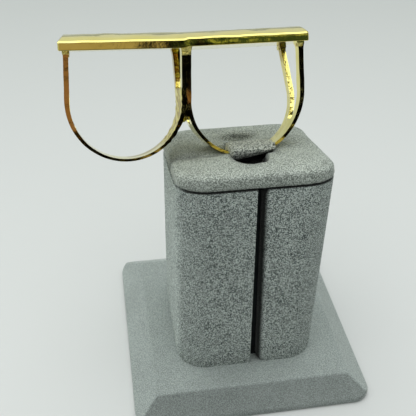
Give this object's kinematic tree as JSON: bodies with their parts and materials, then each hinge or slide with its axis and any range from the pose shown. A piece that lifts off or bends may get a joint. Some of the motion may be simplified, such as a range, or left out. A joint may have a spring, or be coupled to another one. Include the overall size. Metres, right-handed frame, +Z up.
{
  "type": "two finger ring on a display stand",
  "caption": "Gold bar ring worn across neighbouring fingers, with round loops and split shanks, held by the flap of a sloping suede display stand.",
  "frame": {"origin": "centre of the plinth's underside", "axes": "+Z up, -Y towards the high side of the stand with the gap between the wrap's ends, +X to the right as seen from there, so the ring's bar lies nearly along X"},
  "size_m": [0.0551, 0.047, 0.0683],
  "materials": {
    "base_suede": "brushed suede",
    "core_board": "dark board",
    "wrap_suede": "brushed suede",
    "cap_suede": "brushed suede",
    "flap_suede": "brushed suede",
    "gold": "polished"
  },
  "bodies": {
    "root": {"base": "base_suede", "core": "core_board", "wrap": "wrap_suede", "cap": "cap_suede", "flap": "flap_suede", "ring": "gold"}
  },
  "joints": []
}
